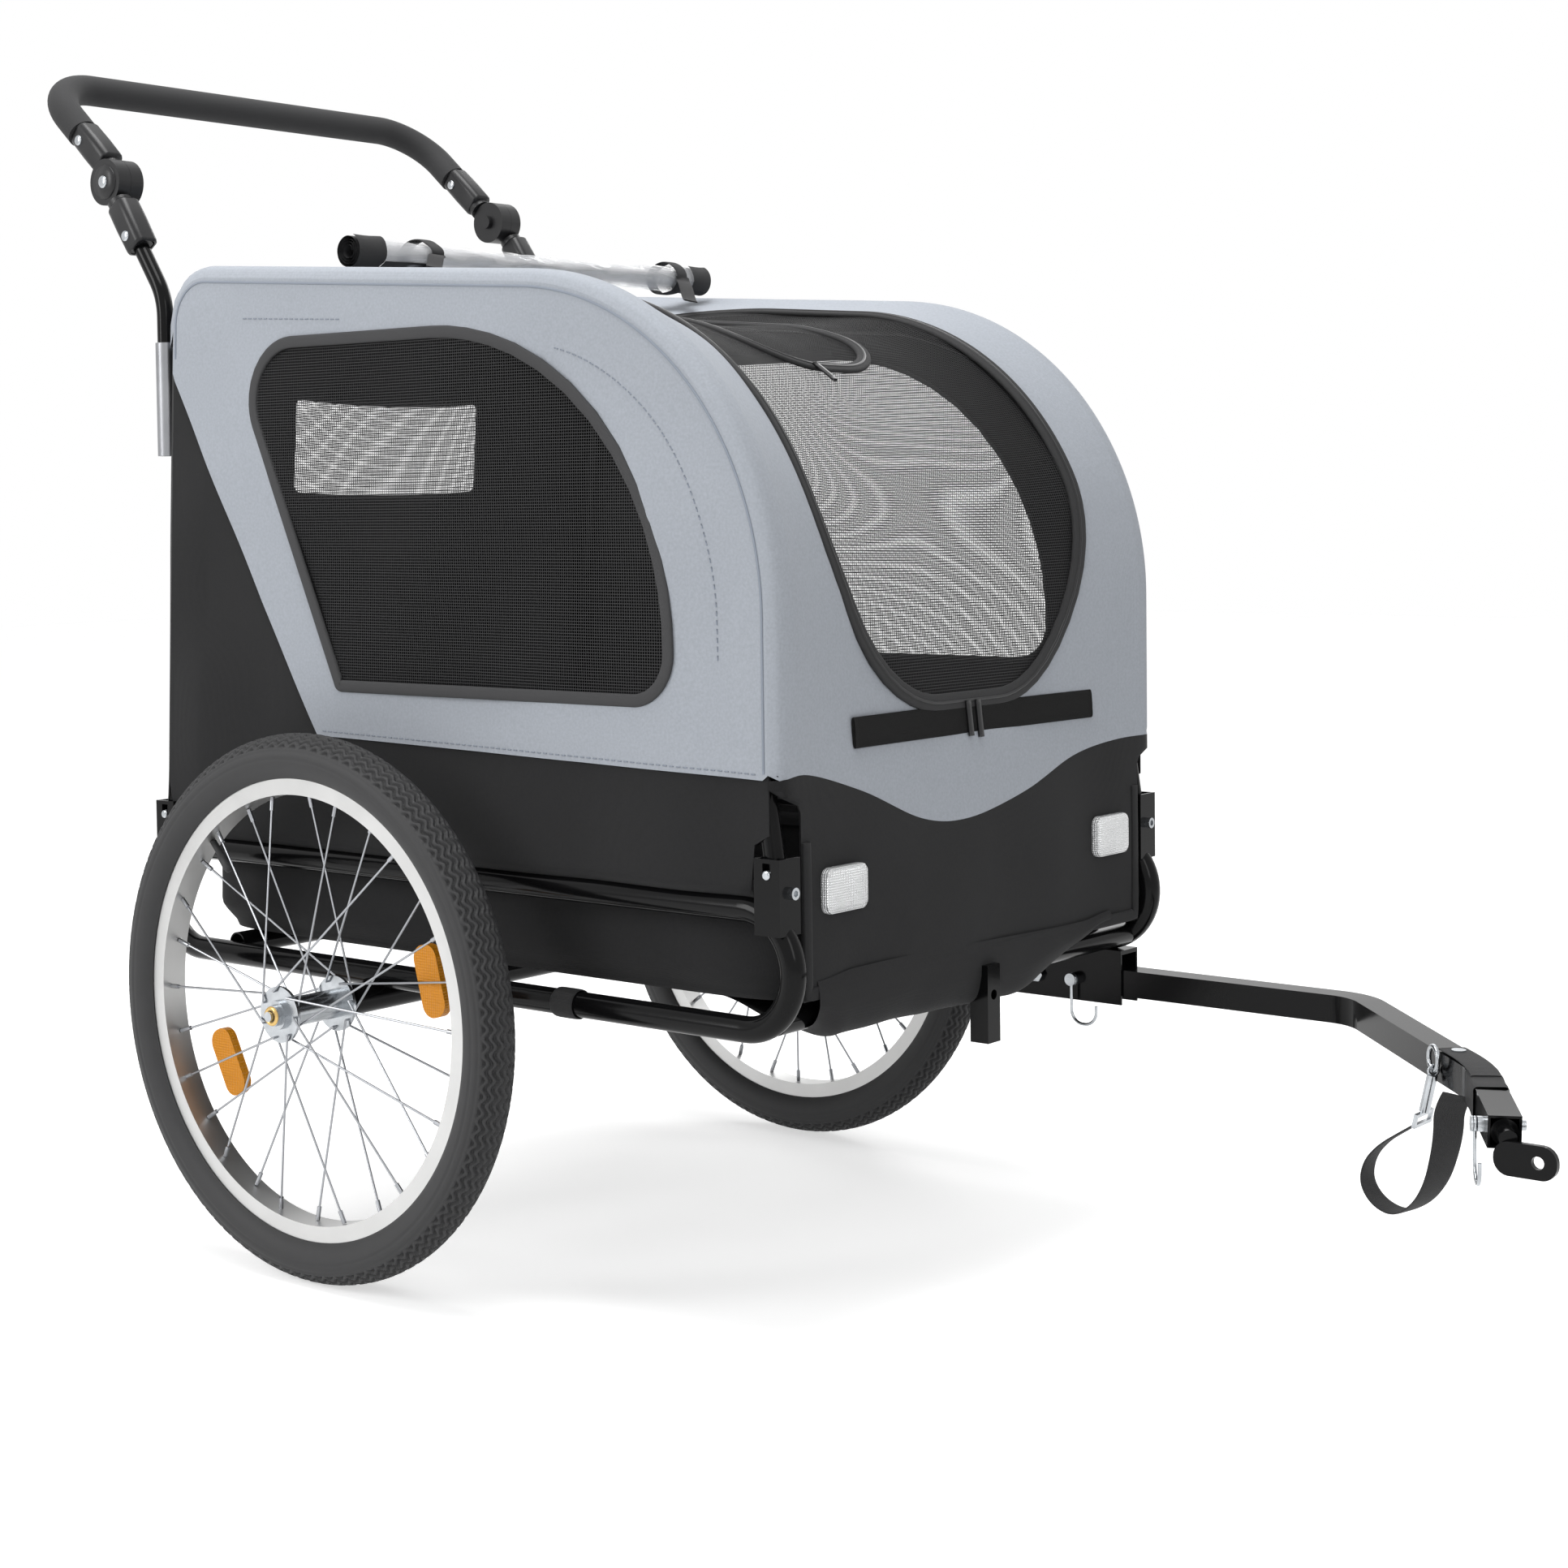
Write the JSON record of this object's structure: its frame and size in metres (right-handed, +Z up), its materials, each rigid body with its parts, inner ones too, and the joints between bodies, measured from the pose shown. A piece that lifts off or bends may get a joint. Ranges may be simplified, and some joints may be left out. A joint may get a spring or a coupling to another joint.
{
  "type": "dog bike trailer",
  "caption": "Two-wheeled dog bike trailer with a folding fabric cabin, mesh windows, rolled rain cover, push handle and side tow arm",
  "frame": {"origin": "on the ground under the middle of the trailer's length, halfway between the wheels", "axes": "+X points forward along the tow arm, +Y to the left where the tow arm is bolted, +Z up"},
  "size_m": [1.5388, 0.799, 1.1454],
  "materials": {
    "frame_black": "semi-gloss black powder coat",
    "bright_steel": "zinc-plated bright steel",
    "spoke_steel": "plain drawn steel",
    "rim_alloy": "polished aluminium",
    "tyre_rubber": "moulded black rubber",
    "foam_black": "matte black closed-cell foam",
    "hinge_plastic": "moulded black nylon",
    "amber_lens": "amber prismatic plastic",
    "clear_lens": "clear prismatic plastic",
    "cover_colour": "coated woven polyester, light blue-grey",
    "cover_black": "coated woven polyester, black",
    "mesh_black": "open black mesh",
    "rain_sheet": "rolled clear vinyl sheet",
    "floor_panel": "black plastic sheet"
  },
  "bodies": {
    "chassis": {"right_loop_frame": "frame_black", "left_loop_frame": "frame_black", "front_cross_tube": "frame_black", "rear_cross_tube": "frame_black", "axle_tube": "frame_black", "right_hinge_brackets": "frame_black", "left_hinge_brackets": "frame_black", "pivot_bolts": "bright_steel", "front_socket": "frame_black", "floor_board": "floor_panel", "tub": "cover_black", "front_reflectors": "clear_lens", "right_axle": "bright_steel", "left_axle": "bright_steel", "tow_bracket": "frame_black", "tow_bolt": "bright_steel", "handle_sleeves": "spoke_steel", "right_side_panel": "cover_colour", "left_side_panel": "cover_colour", "canopy": "cover_colour", "rear_panel": "cover_black", "front_mesh_door": "mesh_black", "right_mesh": "mesh_black", "left_mesh": "mesh_black", "rear_mesh": "mesh_black", "rain_cover": "rain_sheet"},
    "left_hoop": {"left_hoop": "frame_black"},
    "right_hoop": {"right_hoop": "frame_black"},
    "left_lock": {"left_lock_buttons": "bright_steel"},
    "right_lock": {"right_lock_buttons": "bright_steel"},
    "handle_base": {"handle_base_tubes": "frame_black", "handle_lower_hinges": "hinge_plastic"},
    "handle": {"handle_bar": "frame_black", "foam_grip": "foam_black", "handle_upper_hinges": "hinge_plastic"},
    "right_hinge_button": {"right_handle_button": "hinge_plastic"},
    "left_hinge_button": {"left_handle_button": "hinge_plastic"},
    "tow_arm": {"tow_arm": "frame_black", "strap_bolt": "bright_steel", "strap_wrap": "cover_black", "d_ring": "bright_steel", "snap_hook": "bright_steel", "safety_strap": "cover_black", "coupler": "frame_black"},
    "tow_pin": {"tow_pin": "bright_steel"},
    "tow_pin_bail": {"tow_pin_bail": "bright_steel"},
    "coupler_pin": {"coupler_pin": "bright_steel"},
    "coupler_pin_bail": {"coupler_pin_bail": "bright_steel"},
    "right_wheel": {"right_tyre": "tyre_rubber", "right_rim": "rim_alloy", "right_spokes": "spoke_steel", "right_hub": "rim_alloy", "right_wheel_reflectors": "amber_lens"},
    "left_wheel": {"left_tyre": "tyre_rubber", "left_rim": "rim_alloy", "left_spokes": "spoke_steel", "left_hub": "rim_alloy", "left_wheel_reflectors": "amber_lens"},
    "right_axle_button": {"right_axle_button": "bright_steel"},
    "left_axle_button": {"left_axle_button": "bright_steel"}
  },
  "joints": [
    {"name": "right_wheel_spin", "type": "hinge", "parent": "chassis", "child": "right_wheel", "pos_m": [-0.26394, -0.35, 0.247], "axis": [0, 1, 0], "continuous": true},
    {"name": "left_wheel_spin", "type": "hinge", "parent": "chassis", "child": "left_wheel", "pos_m": [-0.26394, 0.35, 0.247], "axis": [0, 1, 0], "continuous": true},
    {"name": "right_axle_button_push", "type": "slide", "parent": "chassis", "child": "right_axle_button", "axis": [0, 1, 0], "range_m": [0, 0.0028], "stiffness_N_per_m": 400},
    {"name": "left_axle_button_push", "type": "slide", "parent": "chassis", "child": "left_axle_button", "axis": [0, -1, 0], "range_m": [0, 0.0028], "stiffness_N_per_m": 400},
    {"name": "cabin_fold", "type": "hinge", "parent": "chassis", "child": "left_hoop", "pos_m": [0.21406, 0.274, 0.382], "axis": [1, 0, 0], "range_deg": [0, 90], "deforming": ["right_side_panel", "left_side_panel", "canopy", "rear_panel", "front_mesh_door", "right_mesh", "left_mesh", "rear_mesh", "rain_cover"]},
    {"name": "right_hoop_fold", "type": "hinge", "parent": "chassis", "child": "right_hoop", "pos_m": [0.21406, -0.274, 0.382], "axis": [-1, 0, 0], "range_deg": [0, 76.5]},
    {"name": "left_lock_push", "type": "slide", "parent": "left_hoop", "child": "left_lock", "axis": [0, -1, 0], "range_m": [0, 0.004], "stiffness_N_per_m": 400},
    {"name": "right_lock_push", "type": "slide", "parent": "right_hoop", "child": "right_lock", "axis": [0, 1, 0], "range_m": [0, 0.004], "stiffness_N_per_m": 400},
    {"name": "handle_lift", "type": "slide", "parent": "chassis", "child": "handle_base", "axis": [0, 0, 1], "range_m": [0, 0.115]},
    {"name": "handle_tilt", "type": "hinge", "parent": "handle_base", "child": "handle", "pos_m": [-0.62694, 0, 1.018], "axis": [0, 1, 0], "range_deg": [-70, 125]},
    {"name": "right_hinge_button_push", "type": "slide", "parent": "handle", "child": "right_hinge_button", "axis": [0, -1, 0], "range_m": [0, 0.0038], "stiffness_N_per_m": 400},
    {"name": "left_hinge_button_push", "type": "slide", "parent": "handle", "child": "left_hinge_button", "axis": [0, 1, 0], "range_m": [0, 0.0038], "stiffness_N_per_m": 400},
    {"name": "tow_arm_fold", "type": "hinge", "parent": "chassis", "child": "tow_arm", "pos_m": [0.11106, 0.274, 0.226], "axis": [0, 1, 0], "range_deg": [0, 150]},
    {"name": "tow_pin_pull", "type": "slide", "parent": "chassis", "child": "tow_pin", "axis": [0, -1, 0], "range_m": [0, 0.05]},
    {"name": "tow_bail_swing", "type": "hinge", "parent": "tow_pin", "child": "tow_pin_bail", "pos_m": [0.15406, 0.252, 0.226], "axis": [0, 1, 0], "range_deg": [-90, 90]},
    {"name": "coupler_pin_pull", "type": "slide", "parent": "tow_arm", "child": "coupler_pin", "axis": [-0.8519, -0.5233, 0.0191], "range_m": [0, 0.04]},
    {"name": "coupler_bail_swing", "type": "hinge", "parent": "coupler_pin", "child": "coupler_pin_bail", "pos_m": [0.69402, -0.02518, 0.2136], "axis": [-0.8519, -0.5233, 0.0191], "range_deg": [-60, 60]}
  ],
  "couplings": [
    {"joint": "right_hoop_fold", "follows": "cabin_fold", "ratio": 0.85}
  ]
}
